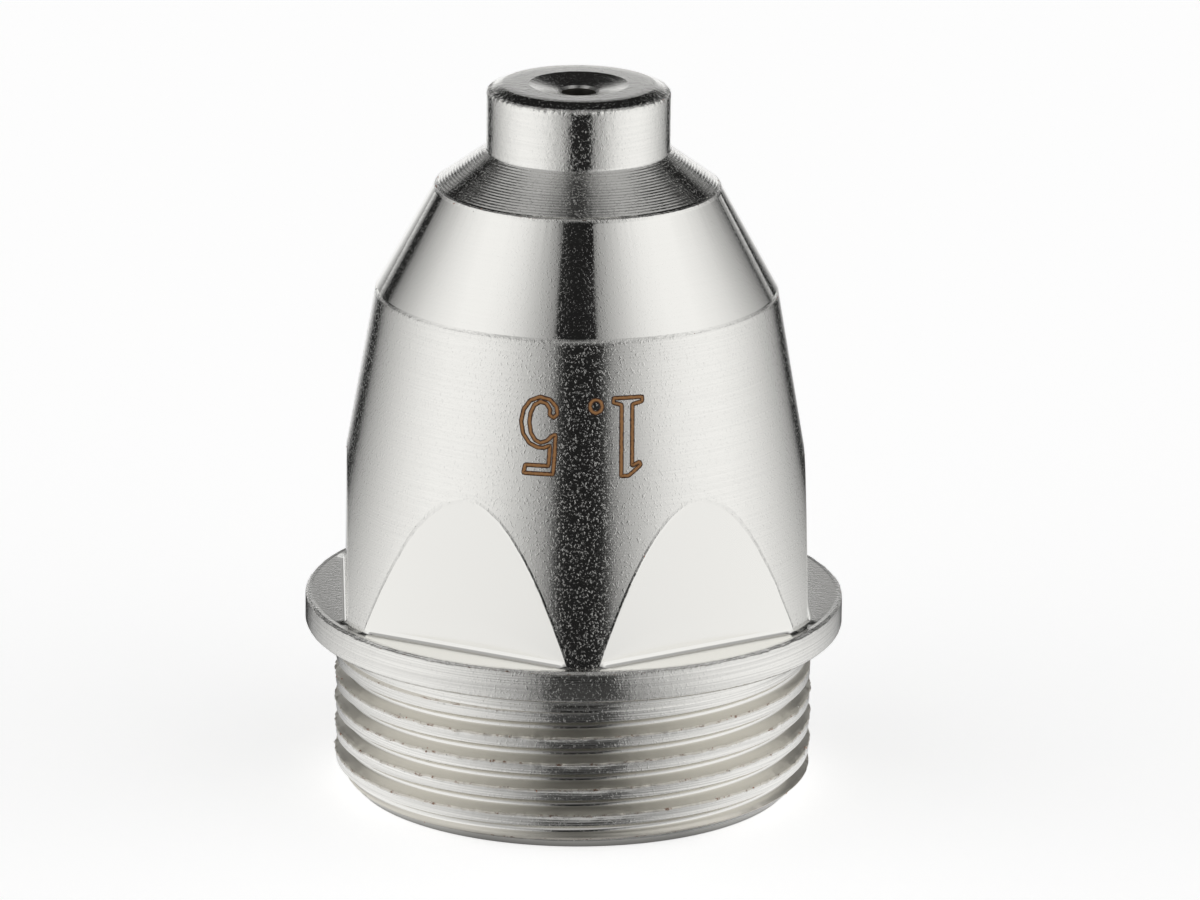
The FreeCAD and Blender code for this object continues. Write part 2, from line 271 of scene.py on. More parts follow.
# %% The tree's inputs
spin = bpy.data.node_groups.new("spin_outline", "GeometryNodeTree")
spin.interface.new_socket(name="Outline", in_out="INPUT", socket_type="NodeSocketGeometry")
spin.interface.new_socket(name="Nozzle", in_out="OUTPUT", socket_type="NodeSocketGeometry")
SIZES = {
    "Columns": ("NodeSocketInt", 600), "Rows": ("NodeSocketInt", len(rows)),
    "Pitch": ("NodeSocketFloat", PITCH), "Thread low": ("NodeSocketFloat", THREAD_LOW),
    "Thread high": ("NodeSocketFloat", THREAD_HIGH),
    "Run-out start": ("NodeSocketFloat", LAST_GROOVE + 0.55),
    "Run-out end": ("NodeSocketFloat", LAST_GROOVE + 0.85),
    "Chamfer foot": ("NodeSocketFloat", CHAMFER_FOOT),
    "Flat apothem": ("NodeSocketFloat", FLAT_APOTHEM),
    "Flat root": ("NodeSocketFloat", ROOT_RADIUS),
    "Foot radius": ("NodeSocketFloat", FOOT_RADIUS),
    "Cone fall": ("NodeSocketFloat", (FOOT_RADIUS - CONE_TOP_RADIUS) / CONE_LENGTH),
    "Cone length": ("NodeSocketFloat", CONE_LENGTH),
    "Burr grain": ("NodeSocketFloat", 1.6),
}
sockets = {name: spin.interface.new_socket(name=name, in_out="INPUT", socket_type=kind)
           for name, (kind, value) in SIZES.items()}
given = add(spin, "NodeGroupInput").outputs
print(f"{len(SIZES)} sizes drive the tree")

# %% Rows and columns
grid = add(spin, "GeometryNodeMeshGrid", 1.0, 1.0,
           add(spin, "ShaderNodeMath", given["Columns"], 1.0, operation="ADD"),
           given["Rows"])
spot = add(spin, "ShaderNodeSeparateXYZ", add(spin, "GeometryNodeInputPosition"))
turns = add(spin, "ShaderNodeMath", spot.outputs["X"], 0.5, operation="ADD")
last_row = add(spin, "ShaderNodeMath", given["Rows"], 1.0, operation="SUBTRACT")
upward = add(spin, "ShaderNodeMath", spot.outputs["Y"], 0.5, operation="ADD")
line = add(spin, "ShaderNodeMath", upward, last_row, 0.25, operation="MULTIPLY_ADD")
number = add(spin, "ShaderNodeMath", line, operation="FLOOR")
value = {}
for name in ROW_VALUES:
    stored = add(spin, "GeometryNodeInputNamedAttribute", name, data_type="FLOAT")
    value[name] = add(spin, "GeometryNodeSampleIndex", given["Outline"], stored, number,
                      data_type="FLOAT", domain="POINT", clamp=True)
part_way = add(spin, "ShaderNodeMath", line, number, operation="SUBTRACT")
along_row = add(spin, "ShaderNodeMath", part_way, 0.5, operation="LESS_THAN")
print(f"{len(ROW_VALUES)} values are read from each row")

# %% Angle and noise
angle = add(spin, "ShaderNodeMath", turns, math.tau, math.pi / 2,
            operation="MULTIPLY_ADD")
cosine = add(spin, "ShaderNodeMath", angle, operation="COSINE")
sine = add(spin, "ShaderNodeMath", angle, operation="SINE")
climb = add(spin, "ShaderNodeMath", given["Pitch"], turns, value["height"],
            operation="MULTIPLY_ADD")
climbed = add(spin, "ShaderNodeClamp", climb, given["Thread low"], given["Thread high"])
level = add(spin, "ShaderNodeMix", value["helix"], value["height"], climbed,
            data_type="FLOAT")
around = add(spin, "ShaderNodeCombineXYZ", cosine, sine, 0.0)
ring_spot = add(spin, "ShaderNodeVectorMath", around, {"Scale": 10.0}, operation="SCALE")
lifted = add(spin, "ShaderNodeCombineXYZ", 0.0, 0.0, level)
noise_spot = add(spin, "ShaderNodeVectorMath", ring_spot, lifted, operation="ADD")
ragged = add(spin, "ShaderNodeTexNoise", {"Vector": noise_spot, "Scale": given["Burr grain"],
             "Detail": 4.0, "Roughness": 0.75}, noise_dimensions="3D")
shifted = add(spin, "ShaderNodeVectorMath", noise_spot, (31.0, 7.0, 3.0), operation="ADD")
uneven = add(spin, "ShaderNodeTexNoise", {"Vector": shifted, "Scale": 1.9,
             "Detail": 4.0, "Roughness": 0.7}, noise_dimensions="3D")
outward = add(spin, "ShaderNodeMapRange", ragged, 0.42, 0.68, 0.0, 1.0)
sideways = add(spin, "ShaderNodeMapRange", uneven, 0.3, 0.7, -1.0, 1.0)

# %% Flats on the lower cone
sector = add(spin, "ShaderNodeMath", turns, 6.0, operation="MULTIPLY")
within = add(spin, "ShaderNodeMath", sector, operation="FRACT")
from_middle = add(spin, "ShaderNodeMath", within, 0.5, operation="SUBTRACT")
off_square = add(spin, "ShaderNodeMath", from_middle, math.radians(60),
                 operation="MULTIPLY")
lean = add(spin, "ShaderNodeMath", off_square, operation="COSINE")
flat_reach = add(spin, "ShaderNodeMath", given["Flat apothem"], lean, operation="DIVIDE")
spare = add(spin, "ShaderNodeMath", given["Foot radius"], flat_reach,
            operation="SUBTRACT")
meeting = add(spin, "ShaderNodeMath", spare, given["Cone fall"], operation="DIVIDE")
chatter = add(spin, "ShaderNodeMath", sideways, 0.05, meeting, operation="MULTIPLY_ADD")
meets = add(spin, "ShaderNodeMath", chatter, 0.0, operation="MAXIMUM")
rise = add(spin, "ShaderNodeMath", value["rise"], meets, operation="MINIMUM")
root_top = add(spin, "ShaderNodeMath", given["Flat root"], meets, operation="MINIMUM")
flat_span = add(spin, "ShaderNodeMath", meets, root_top, operation="SUBTRACT")
cone_span = add(spin, "ShaderNodeMath", given["Cone length"], meets,
                operation="SUBTRACT")
rise = add(spin, "ShaderNodeMath", value["low_share"], flat_span, rise,
           operation="MULTIPLY_ADD")
rise = add(spin, "ShaderNodeMath", value["high_share"], cone_span, rise,
           operation="MULTIPLY_ADD")
in_root = add(spin, "ShaderNodeMath", given["Flat root"], rise, operation="SUBTRACT")
in_root = add(spin, "ShaderNodeMath", in_root, 0.0, operation="MAXIMUM")
in_root = add(spin, "ShaderNodeMath", in_root, in_root, operation="MULTIPLY")
squared = add(spin, "ShaderNodeMath", given["Flat root"], given["Flat root"],
              operation="MULTIPLY")
inner = add(spin, "ShaderNodeMath", squared, in_root, operation="SUBTRACT")
inner = add(spin, "ShaderNodeMath", inner, operation="SQRT")
flare = add(spin, "ShaderNodeMath", given["Flat root"], inner, operation="SUBTRACT")
flat_face = add(spin, "ShaderNodeMath", given["Flat apothem"], flare, operation="ADD")
flat_face = add(spin, "ShaderNodeMath", flat_face, lean, operation="DIVIDE")
fallen = add(spin, "ShaderNodeMath", given["Cone fall"], rise, operation="MULTIPLY")
cone_face = add(spin, "ShaderNodeMath", given["Foot radius"], fallen,
                operation="SUBTRACT")
milled = add(spin, "ShaderNodeMath", flat_face, cone_face, operation="MINIMUM")

# %% Thread depth and burrs
progress = add(spin, "ShaderNodeMath", value["groove"], turns, operation="ADD")
depth_left = add(spin, "ShaderNodeMapRange", progress, given["Run-out start"],
                 given["Run-out end"], 1.0, 0.0, interpolation_type="SMOOTHSTEP")
no_helix = add(spin, "ShaderNodeMath", 1.0, value["helix"], operation="SUBTRACT")
depth_left = add(spin, "ShaderNodeMath", depth_left, no_helix, operation="MAXIMUM")
cut = add(spin, "ShaderNodeMath", value["cut"], depth_left, operation="MULTIPLY")
turned = add(spin, "ShaderNodeMath", value["radius"], cut, operation="SUBTRACT")
radius = add(spin, "ShaderNodeMix", value["milled"], turned, milled, data_type="FLOAT")
push = add(spin, "ShaderNodeMath", value["burr"], depth_left, operation="MULTIPLY")
radius = add(spin, "ShaderNodeMath", push, outward, radius, operation="MULTIPLY_ADD")
height = add(spin, "ShaderNodeMath", level, rise, operation="ADD")
sway = add(spin, "ShaderNodeMath", value["wander"], depth_left, operation="MULTIPLY")
swayed = add(spin, "ShaderNodeMath", sway, sideways, height, operation="MULTIPLY_ADD")
lowest = add(spin, "ShaderNodeMath", swayed, given["Thread low"], operation="MAXIMUM")
height = add(spin, "ShaderNodeMix", value["helix"], swayed, lowest, data_type="FLOAT")
chamfer = add(spin, "ShaderNodeMath", given["Chamfer foot"], height, operation="ADD")
radius = add(spin, "ShaderNodeMath", radius, chamfer, operation="MINIMUM")

# %% Place, mark and merge the points
metres = add(spin, "ShaderNodeMath", radius, MM, operation="MULTIPLY")
place = add(spin, "ShaderNodeCombineXYZ",
            add(spin, "ShaderNodeMath", cosine, metres, operation="MULTIPLY"),
            add(spin, "ShaderNodeMath", sine, metres, operation="MULTIPLY"),
            add(spin, "ShaderNodeMath", height, MM, operation="MULTIPLY"))
hard = add(spin, "FunctionNodeBooleanMath", value["sharp"], along_row, operation="AND")
edges = add(spin, "GeometryNodeSetShadeSmooth", grid, None, True, domain="FACE")
edges = add(spin, "GeometryNodeSetShadeSmooth", edges, hard, False, domain="EDGE")
edges = add(spin, "GeometryNodeStoreNamedAttribute", edges, None, "edge", value["edge"],
            data_type="FLOAT", domain="POINT")
edges = add(spin, "GeometryNodeStoreNamedAttribute", edges, None, "finish",
            value["finish"], data_type="FLOAT", domain="FACE")
placed = add(spin, "GeometryNodeSetPosition", edges, None, place)
merged = add(spin, "GeometryNodeMergeByDistance", placed, None, 0.0000015)
print(f"the tree has {len(spin.nodes)} nodes so far")

# %% [markdown]
# ## Finishes
# Bright plating follows every mark of the tool under it, so each surface keeps its own
# look: turned faces have fine rings, milled flats are smooth with faint arcs, and one cone
# is polished. One function makes all of them, from the spacing and depth of the rings, the
# size of the grain, and the roughness. Depths are real heights in millimetres, fed to Bump.

# %% Plating
def plating(name, roughness, ring=(0.1, 0.0), grain=(0.08, 0.0), dent=(0.4, 0.0),
            grit=(0.13, 0.0), feed=(0.12, 0.0), tone=0.04, colour="#F3F2EE", along="z"):
    """A plated finish; ring, grain and dent are each a size and a depth in millimetres."""
    material = bpy.data.materials.new(name)
    material.use_nodes = True
    tree = material.node_tree
    tree.nodes.clear()
    spot = add(tree, "ShaderNodeTexCoord").outputs["Object"]
    spot = add(tree, "ShaderNodeVectorMath", spot, {"Scale": 1000.0}, operation="SCALE")
    parts = add(tree, "ShaderNodeSeparateXYZ", spot).outputs
    back = add(tree, "ShaderNodeMath", parts["Y"], -1.0, operation="MULTIPLY")
    turn = add(tree, "ShaderNodeMath", parts["X"], back, operation="ARCTAN2")
    flat = add(tree, "ShaderNodeCombineXYZ", parts["X"], parts["Y"], 0.0)
    reach = add(tree, "ShaderNodeVectorMath", flat, operation="LENGTH").outputs["Value"]
    tool = parts["Z"] if along == "z" else reach
    ringed = add(tree, "ShaderNodeCombineXYZ",
                 add(tree, "ShaderNodeMath", turn, 0.9, operation="MULTIPLY"),
                 0.0, add(tree, "ShaderNodeMath", tool, 1 / ring[0], operation="MULTIPLY"))
    rings = add(tree, "ShaderNodeTexNoise", {"Vector": ringed, "Scale": 1.0, "Detail": 3.0,
                "Roughness": 0.6})
    grains = add(tree, "ShaderNodeTexNoise", {"Vector": spot, "Scale": 1 / grain[0],
                 "Detail": 2.0, "Roughness": 0.6})
    dents = add(tree, "ShaderNodeTexNoise", {"Vector": spot, "Scale": 1 / dent[0],
                "Detail": 3.0, "Roughness": 0.6})
    groove = add(tree, "ShaderNodeMath", tool, math.tau / feed[0],
                 add(tree, "ShaderNodeMath", rings, 3.0, operation="MULTIPLY"),
                 operation="MULTIPLY_ADD")
    groove = add(tree, "ShaderNodeMath", groove, operation="SINE")
    height = add(tree, "ShaderNodeMath", rings, ring[1] * MM, operation="MULTIPLY")
    height = add(tree, "ShaderNodeMath", groove, feed[1] * MM, height,
                 operation="MULTIPLY_ADD")
    height = add(tree, "ShaderNodeMath", grains, grain[1] * MM, height,
                 operation="MULTIPLY_ADD")
    height = add(tree, "ShaderNodeMath", dents, dent[1] * MM, height,
                 operation="MULTIPLY_ADD")
    worn = add(tree, "ShaderNodeAttribute", attribute_name="edge")
    crumbs = add(tree, "ShaderNodeTexNoise", {"Vector": spot, "Scale": 5.0,
                 "Detail": 4.0, "Roughness": 0.7})
    crumbs = add(tree, "ShaderNodeMath", crumbs, worn.outputs["Fac"],
                 operation="MULTIPLY")
    height = add(tree, "ShaderNodeMath", crumbs, 0.05 * MM, height,
                 operation="MULTIPLY_ADD")
    specks = add(tree, "ShaderNodeTexNoise", {"Vector": spot, "Scale": 1 / grit[0],
                 "Detail": 1.0, "Roughness": 0.5, "Distortion": 0.6})
    specks = add(tree, "ShaderNodeMapRange", specks, 0.58, 0.72, 0.0, grit[1] * MM)
    height = add(tree, "ShaderNodeMath", height, specks, operation="ADD")
    relief = add(tree, "ShaderNodeBump", {"Strength": 1.0, "Distance": 1.0,
                 "Height": height})
    shade = add(tree, "ShaderNodeMapRange", rings, 0.35, 0.65, 1.0 - tone, 1.0)
    speck = add(tree, "ShaderNodeTexNoise", {"Vector": spot, "Scale": 2.6, "Detail": 5.0,
                "Roughness": 0.75})
    wear = add(tree, "ShaderNodeMath", worn.outputs["Fac"], speck, operation="MULTIPLY")
    wear = add(tree, "ShaderNodeMapRange", wear, 0.54, 0.64, 0.0, 0.85)
    plate = add(tree, "ShaderNodeMix", 1.0, linear(colour), shade, data_type="RGBA",
                blend_type="MULTIPLY")
    surface = add(tree, "ShaderNodeMix", wear, plate, linear("#7A5238"),
                  data_type="RGBA")
    shader = add(tree, "ShaderNodeBsdfPrincipled", {"Base Color": surface, "Metallic": 1.0,
                 "Roughness": roughness, "Normal": relief})
    add(tree, "ShaderNodeOutputMaterial", shader)
    return material


finishes = {
    # Dull, as a boring bar leaves a deep hole; its darker colour is painted shade for the inside
    # of the hole.
    "bored": plating("plating_bored", 0.35, ring=(0.2, 0.002), colour="#8C8983"),
    # Bright and even along the groove, with very fine rings.
    "threaded": plating("plating_threaded", 0.14, ring=(0.07, 0.001),
                        grain=(0.07, 0.0008), dent=(0.5, 0.002), grit=(0.1, 0.003)),
    # Pale and matt, where the tool dragged the metal.
    "torn": plating("plating_torn", 0.36, ring=(0.07, 0.003), grain=(0.07, 0.003),
                    dent=(0.3, 0.006), colour="#DBD7CD"),
    # Bright, with turning rings and small marks.
    "turned": plating("plating_turned", 0.14, ring=(0.07, 0.0025), grain=(0.08, 0.002),
                      dent=(0.6, 0.002), grit=(0.1, 0.005), feed=(0.11, 0.002),
                      tone=0.2),
    # Broad smooth planes that mirror as one.
    "milled": plating("plating_milled", 0.14, grain=(0.1, 0.0002), dent=(1.2, 0.001),
                      tone=0.0),
    # Bright with a fine satin of rings and specks.
    "coned": plating("plating_fine_turned", 0.12, ring=(0.075, 0.0014),
                     grain=(0.06, 0.0022), dent=(0.5, 0.0015), grit=(0.1, 0.005),
                     feed=(0.12, 0.0008)),
    # Nearly a mirror.
    "polished": plating("plating_polished", 0.05, grain=(0.08, 0.0005),
                        dent=(0.9, 0.0015), grit=(0.09, 0.0014), tone=0.01),
    # Rings that read as lines. The real feed is about 0.1 mm, drawn 0.12 mm to show.
    "shoulder": plating("plating_ringed", 0.1, ring=(0.1, 0.001), grain=(0.07, 0.0014),
                        grit=(0.09, 0.004), feed=(0.12, 0.0025), tone=0.1, along="r"),
    # Bright, with shallow dents.
    "tip": plating("plating_tip", 0.1, ring=(0.1, 0.0008), grain=(0.07, 0.0014),
                   dent=(0.3, 0.012), grit=(0.09, 0.004), feed=(0.12, 0.0006)),
    # A little matt, with rings round the orifice.
    "faced": plating("plating_faced", 0.2, ring=(0.09, 0.001), grain=(0.08, 0.002),
                     dent=(0.3, 0.008), grit=(0.13, 0.004), along="r"),
    # Satin, from a quick cut with a chamfering tool.
    "chamfered": plating("plating_chamfered", 0.4, ring=(0.08, 0.001),
                         grain=(0.08, 0.003), grit=(0.12, 0.004), colour="#E9E7E2"),
}
print(f"{len(finishes)} finishes")

# %% Give each face its finish and run the tree
kind = add(spin, "GeometryNodeInputNamedAttribute", "finish", data_type="FLOAT")
coated = add(spin, "GeometryNodeRealizeInstances", merged)
for place, name in enumerate(FINISHES):
    chosen = add(spin, "FunctionNodeCompare", kind, float(place), {"Epsilon": 0.4},
                 data_type="FLOAT", operation="EQUAL")
    coated = add(spin, "GeometryNodeSetMaterial", coated, chosen, finishes[name])
add(spin, "NodeGroupOutput", coated)
modifier = nozzle.modifiers.new("spin", "NODES")
modifier.node_group = spin
for name, socket in sockets.items():
    modifier[socket.identifier] = SIZES[name][1]
depsgraph = bpy.context.evaluated_depsgraph_get()
solid = bpy.data.meshes.new_from_object(nozzle.evaluated_get(depsgraph),
                                        preserve_all_data_layers=True, depsgraph=depsgraph)
nozzle.modifiers.clear()
nozzle.data = solid
solid.calc_loop_triangles()
print(f"the nozzle has {len(solid.loop_triangles)} triangles")

# %% Tie the nozzle to the frame
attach(nozzle, "root")
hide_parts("nozzle")

# %% [markdown]
# ## Size mark
# A laser burns the orifice size, 1.5, into the long cone, upside down because a torch is
# held tip down. The beam follows each digit's outline, and leaves a tan line with burnt
# dark edges. Text could be wrapped on the cone, but a beam draws a path, so the mark is a
# set of paths here. A tree gives them a width and rolls them onto the cone.

# %% Paths of the digits, in millimetres, upright
DIGIT_PATHS = [
    [(-2.60, -1.70), (-1.35, -1.70), (-1.35, -1.50), (-1.70, -1.40), (-1.70, 1.70),
     (-2.02, 1.70), (-2.55, 1.27), (-2.50, 1.12), (-2.17, 1.28), (-2.17, -1.40),
     (-2.60, -1.50)],
    [(-0.60 + 0.27 * math.cos(step * math.tau / 12), -1.36 + 0.29 * math.sin(
        step * math.tau / 12)) for step in range(12)],
    [(1.12, -0.12), (1.16, 0.80), (1.22, 1.61), (1.85, 1.61), (2.50, 1.61),
     (2.42, 1.25), (1.95, 1.25), (1.42, 1.25), (1.38, 0.75), (1.36, 0.36), (1.62, 0.47),
     (1.90, 0.46), (2.25, 0.30), (2.52, -0.10), (2.61, -0.62), (2.50, -1.15),
     (2.22, -1.55), (1.78, -1.74), (1.35, -1.63), (1.08, -1.32), (1.05, -1.0),
     (1.22, -0.85), (1.38, -0.98), (1.36, -1.22), (1.52, -1.46), (1.78, -1.53),
     (2.04, -1.36), (2.20, -1.0), (2.25, -0.60), (2.18, -0.15), (2.0, 0.15),
     (1.76, 0.26), (1.48, 0.16), (1.28, -0.06)],
]
# The real line is about 0.1 mm wide. It is drawn twice as wide, so that it shows.
MARK_WIDTH, MARK_DEPTH, MARK_HEIGHT = 0.2, 0.02, 18.36
DIGIT_SQUASH = 0.97
paths = bpy.data.curves.new("digit_paths", "CURVE")
paths.dimensions = "3D"
for path in DIGIT_PATHS:
    spline = paths.splines.new("POLY")
    spline.points.add(len(path) - 1)
    for point, (across, up) in zip(spline.points, path):
        point.co = (across * MM, up * MM, 0, 1)
    spline.use_cyclic_u = True
size_mark = bpy.data.objects.new("size_mark", paths)
bpy.context.scene.collection.objects.link(size_mark)

print(f"the size mark has {len(DIGIT_PATHS)} closed paths")

# %% [markdown]
# ## Burnt oxide
# The beam burns the plating to a thin oxide. It is matt and tan, and charred along both
# edges of the line, so it is not a metal to the eye. The mark could be painted into the
# cone's own material, but a separate ribbon keeps the cone's finish simple.

# %% Laser-burnt oxide
burnt = bpy.data.materials.new("laser_burnt_oxide")
burnt.use_nodes = True
tree = burnt.node_tree
tree.nodes.clear()
across = add(tree, "ShaderNodeAttribute", attribute_name="across").outputs["Fac"]
spot = add(tree, "ShaderNodeTexCoord").outputs["Object"]
char = add(tree, "ShaderNodeTexNoise", {"Vector": spot, "Scale": 7000.0, "Detail": 3.0})
burn = add(tree, "ShaderNodeMath", across, operation="ABSOLUTE")
burn = add(tree, "ShaderNodeMath", char, 0.9, burn, operation="MULTIPLY_ADD")
burn = add(tree, "ShaderNodeMapRange", burn, 0.75, 1.25, 0.0, 1.0)
tint = add(tree, "ShaderNodeMix", burn, linear("#C08A55"), linear("#3B1C0E"),
           data_type="RGBA")
shader = add(tree, "ShaderNodeBsdfPrincipled", {"Base Color": tint, "Metallic": 0.0,
             "Roughness": 0.6})
add(tree, "ShaderNodeOutputMaterial", shader)

# %% Give the paths a width and roll them onto the cone
roll = bpy.data.node_groups.new("roll_mark", "GeometryNodeTree")
roll.interface.new_socket(name="Paths", in_out="INPUT", socket_type="NodeSocketGeometry")
roll.interface.new_socket(name="Mark", in_out="OUTPUT", socket_type="NodeSocketGeometry")
MARK_SIZES = {"Width": MARK_WIDTH * MM, "Depth": MARK_DEPTH * MM,
              "Height": MARK_HEIGHT * MM, "Foot radius": FOOT_RADIUS * MM,
              "Foot height": FLANGE_TOP * MM, "Turn": math.radians(-0.5),
              "Cone fall": (FOOT_RADIUS - CONE_TOP_RADIUS) / CONE_LENGTH}
mark_sockets = {name: roll.interface.new_socket(name=name, in_out="INPUT",
                socket_type="NodeSocketFloat") for name in MARK_SIZES}
given = add(roll, "NodeGroupInput").outputs
beam = add(roll, "GeometryNodeCurvePrimitiveQuadrilateral", given["Width"], given["Depth"])
beam_spot = add(roll, "ShaderNodeSeparateXYZ", add(roll, "GeometryNodeInputPosition"))
share = add(roll, "ShaderNodeMath", beam_spot, given["Width"], operation="DIVIDE")
share = add(roll, "ShaderNodeMath", share, 2.0, operation="MULTIPLY")
beam = add(roll, "GeometryNodeStoreNamedAttribute", beam, None, "across", share,
           data_type="FLOAT", domain="POINT")
fine = add(roll, "GeometryNodeResampleCurve", {"Curve": given["Paths"],
           "Length": 0.06 * MM}, mode="LENGTH")
ribbon = add(roll, "GeometryNodeCurveToMesh", {"Curve": fine, "Profile Curve": beam})
spot = add(roll, "ShaderNodeSeparateXYZ", add(roll, "GeometryNodeInputPosition")).outputs
level = add(roll, "ShaderNodeMath", spot["Y"], -DIGIT_SQUASH, given["Height"],
            operation="MULTIPLY_ADD")
above = add(roll, "ShaderNodeMath", level, given["Foot height"], operation="SUBTRACT")
fallen = add(roll, "ShaderNodeMath", above, given["Cone fall"], operation="MULTIPLY")
reach = add(roll, "ShaderNodeMath", given["Foot radius"], fallen, operation="SUBTRACT")
aside = add(roll, "ShaderNodeMath", spot["X"], -1.0, operation="MULTIPLY")
aside = add(roll, "ShaderNodeMath", aside, reach, operation="DIVIDE")
aside = add(roll, "ShaderNodeMath", aside, given["Turn"], operation="ADD")
proud = add(roll, "ShaderNodeMath", reach, spot["Z"], operation="ADD")
nearer = add(roll, "ShaderNodeMath", proud, -1.0, operation="MULTIPLY")
rolled = add(roll, "ShaderNodeCombineXYZ",
             add(roll, "ShaderNodeMath", add(roll, "ShaderNodeMath", aside,
                 operation="SINE"), proud, operation="MULTIPLY"),
             add(roll, "ShaderNodeMath", add(roll, "ShaderNodeMath", aside,
                 operation="COSINE"), nearer, operation="MULTIPLY"), level)
ribbon = add(roll, "GeometryNodeSetPosition", ribbon, None, rolled)
ribbon = add(roll, "GeometryNodeRealizeInstances", ribbon)
ribbon = add(roll, "GeometryNodeSetMaterial", ribbon, None, burnt)
add(roll, "NodeGroupOutput", ribbon)


def settle(piece, tree, sockets, sizes):
    """Runs a piece's tree, keeps the result as a plain mesh, and ties it to the frame."""
    modifier = piece.modifiers.new(tree.name, "NODES")
    modifier.node_group = tree
    for name, socket in sockets.items():
        modifier[socket.identifier] = sizes[name]
    depsgraph = bpy.context.evaluated_depsgraph_get()
    solid = bpy.data.meshes.new_from_object(
        piece.evaluated_get(depsgraph), preserve_all_data_layers=True,
        depsgraph=depsgraph)
    made = bpy.data.objects.new(piece.name + "_made", solid)
    bpy.context.scene.collection.objects.link(made)
    name = piece.name
    bpy.data.objects.remove(piece)
    made.name = name
    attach(made, "root")
    solid.calc_loop_triangles()
    print(f"{name} has {len(solid.loop_triangles)} triangles")
    return made


size_mark = settle(size_mark, roll, mark_sockets, MARK_SIZES)

# %% [markdown]
# ## Chips
# The tool left chips along the worn edges of the thread, the cones and the tip. They could
# be modelled one by one, but they are too small to tell apart. So a tree scatters grains
# of twenty faces where the worn-edge value is high, with a fixed seed, and leaves out the
# flange's rim. Most are plated, and about a quarter show the bare copper, which is
# warm and a little dull.

# %% Bare copper
copper = bpy.data.materials.new("bare_copper")
copper.use_nodes = True
tree = copper.node_tree
tree.nodes.clear()
spot = add(tree, "ShaderNodeTexCoord").outputs["Object"]
patch = add(tree, "ShaderNodeTexNoise", {"Vector": spot, "Scale": 4000.0, "Detail": 2.0})
tint = add(tree, "ShaderNodeMix", patch, linear("#7A4A34"), linear("#C98D72"),
           data_type="RGBA")
shader = add(tree, "ShaderNodeBsdfPrincipled", {"Base Color": tint, "Metallic": 1.0,
             "Roughness": 0.4})
add(tree, "ShaderNodeOutputMaterial", shader)

# %% Scatter the chips
scatter = bpy.data.node_groups.new("scatter_chips", "GeometryNodeTree")
scatter.interface.new_socket(name="Nozzle", in_out="INPUT",
                             socket_type="NodeSocketGeometry")
scatter.interface.new_socket(name="Chips", in_out="OUTPUT",
                             socket_type="NodeSocketGeometry")
CHIP_SIZES = {"Density": 4.0e6, "Grain": 0.045 * MM, "Outer radius": 11.6 * MM}
chip_sockets = {name: scatter.interface.new_socket(name=name, in_out="INPUT",
                socket_type="NodeSocketFloat") for name in CHIP_SIZES}
given = add(scatter, "NodeGroupInput").outputs
worn = add(scatter, "GeometryNodeInputNamedAttribute", "edge", data_type="FLOAT")
spot = add(scatter, "ShaderNodeSeparateXYZ",
           add(scatter, "GeometryNodeInputPosition")).outputs
flat = add(scatter, "ShaderNodeCombineXYZ", spot["X"], spot["Y"], 0.0)
reach = add(scatter, "ShaderNodeVectorMath", flat, operation="LENGTH").outputs["Value"]
inside = add(scatter, "ShaderNodeMath", reach, given["Outer radius"],
             operation="LESS_THAN")
likely = add(scatter, "ShaderNodeMapRange", worn, 0.5, 0.9, 0.0, given["Density"])
likely = add(scatter, "ShaderNodeMath", likely, inside, operation="MULTIPLY")
points = add(scatter, "GeometryNodeDistributePointsOnFaces",
             {"Mesh": given["Nozzle"], "Density": likely, "Seed": 7})
grain = add(scatter, "GeometryNodeMeshIcoSphere", given["Grain"], 1)
spin_by = add(scatter, "FunctionNodeRandomValue", {"Max": (math.tau,) * 3, "Seed": 3},
              data_type="FLOAT_VECTOR")
size_by = add(scatter, "FunctionNodeRandomValue", {"Min": (0.25, 0.3, 0.2),
              "Max": (1.5, 1.0, 0.7), "Seed": 5}, data_type="FLOAT_VECTOR")
turned_to = add(scatter, "FunctionNodeEulerToRotation", spin_by)
chips = add(scatter, "GeometryNodeInstanceOnPoints", {"Points": points.outputs["Points"],
            "Instance": grain, "Rotation": turned_to, "Scale": size_by})
bare = add(scatter, "FunctionNodeRandomValue", {"Probability": 0.25, "Seed": 9},
           data_type="BOOLEAN")
chips = add(scatter, "GeometryNodeStoreNamedAttribute", chips, None, "bare", bare,
            data_type="BOOLEAN", domain="INSTANCE")
chips = add(scatter, "GeometryNodeRealizeInstances", chips)
chips = add(scatter, "GeometryNodeSetMaterial", chips, None, finishes["turned"])
is_bare = add(scatter, "GeometryNodeInputNamedAttribute", "bare", data_type="BOOLEAN")
chips = add(scatter, "GeometryNodeSetMaterial", chips, is_bare, copper)
add(scatter, "NodeGroupOutput", chips)
edge_chips = bpy.data.objects.new("edge_chips", nozzle.data.copy())
bpy.context.scene.collection.objects.link(edge_chips)
edge_chips = settle(edge_chips, scatter, chip_sockets, CHIP_SIZES)

# %% [markdown]
# ## Light
# A mirror-bright piece shows the studio more than itself. It stands in a white tent with a
# narrow gap for the camera. The gap is the dark line down the middle of every turned face.
# The tent's two sides fade towards the gap, and a dark flag behind each side draws the thin
# black line near the outline. All of this is in the world, by direction. Rays from the
# camera see plain white in place of the tent, so the tent shows only in the metal, and
# the metal does not mirror the white that stands behind it.

# %% Tent
CAMERA_TURN = math.radians(-2.18)
SIDE_LEVELS = [(0, 0.012), (12.5, 0.012), (15, 0.27), (22, 0.43), (30, 0.58), (40, 0.77),
               (50, 0.9), (62, 0.97), (78, 0.98), (93, 0.88), (104, 0.76), (115, 0.62),
               (124, 0.50), (131, 0.40), (138, 0.24), (142, 0.02), (151, 0.02), (156, 0.3),
               (165, 0.95), (180, 1.0)]


